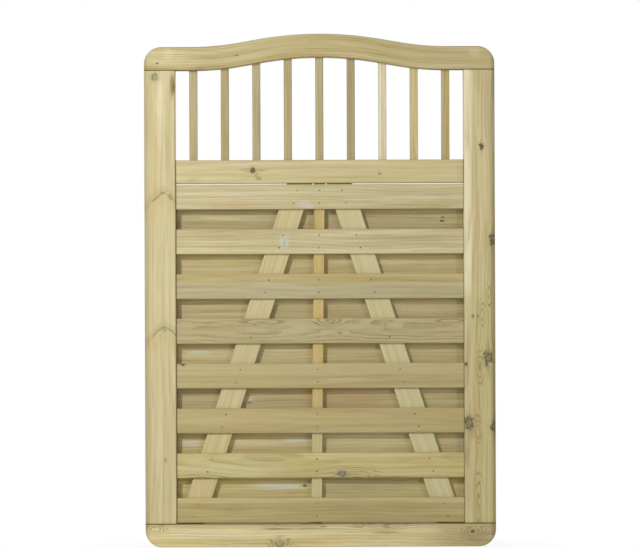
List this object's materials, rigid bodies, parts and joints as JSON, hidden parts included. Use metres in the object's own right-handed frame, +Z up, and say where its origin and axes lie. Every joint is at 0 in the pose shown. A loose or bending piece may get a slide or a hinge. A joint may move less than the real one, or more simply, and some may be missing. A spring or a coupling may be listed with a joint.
{
  "type": "garden gate",
  "caption": "Bow-topped softwood garden gate leaf with square spindles over a hit-and-miss slatted field stiffened by two leaning braces and a centre batten.",
  "frame": {"origin": "middle of the bottom rail's underside, centred in the gate's width and thickness", "axes": "+Z up the gate, +Y from the front face to the back face, +X to the right of the front face"},
  "size_m": [0.9, 0.045, 1.318],
  "materials": {
    "stile_timber": "planed, pressure treated, bare",
    "rail_timber": "planed, pressure treated, bare",
    "spindle_timber": "planed, pressure treated, bare",
    "front_slat_timber": "planed, pressure treated, bare",
    "rear_slat_timber": "planed, pressure treated, bare",
    "brace_timber": "planed, pressure treated, bare",
    "batten_timber": "planed, pressure treated, bare",
    "dowel_wood": "turned hardwood, bare",
    "galvanised_nail": "dull zinc coating"
  },
  "bodies": {
    "root": {"left_stile": "stile_timber", "right_stile": "stile_timber", "top_rail": "rail_timber", "mid_rail": "rail_timber", "bottom_rail": "rail_timber", "spindle_1": "spindle_timber", "spindle_2": "spindle_timber", "spindle_3": "spindle_timber", "spindle_4": "spindle_timber", "spindle_5": "spindle_timber", "spindle_6": "spindle_timber", "spindle_7": "spindle_timber", "spindle_8": "spindle_timber", "spindle_9": "spindle_timber", "front_slat_1": "front_slat_timber", "front_slat_2": "front_slat_timber", "front_slat_3": "front_slat_timber", "front_slat_4": "front_slat_timber", "front_slat_5": "front_slat_timber", "front_slat_6": "front_slat_timber", "front_slat_7": "front_slat_timber", "front_slat_8": "front_slat_timber", "rear_slat_1": "rear_slat_timber", "rear_slat_2": "rear_slat_timber", "rear_slat_3": "rear_slat_timber", "rear_slat_4": "rear_slat_timber", "rear_slat_5": "rear_slat_timber", "rear_slat_6": "rear_slat_timber", "rear_slat_7": "rear_slat_timber", "left_brace": "brace_timber", "right_brace": "brace_timber", "centre_batten": "batten_timber", "top_rail_dowels": "dowel_wood", "mid_rail_dowels": "dowel_wood", "bottom_rail_dowels": "dowel_wood", "front_nails": "galvanised_nail", "rear_nails": "galvanised_nail"}
  },
  "joints": []
}
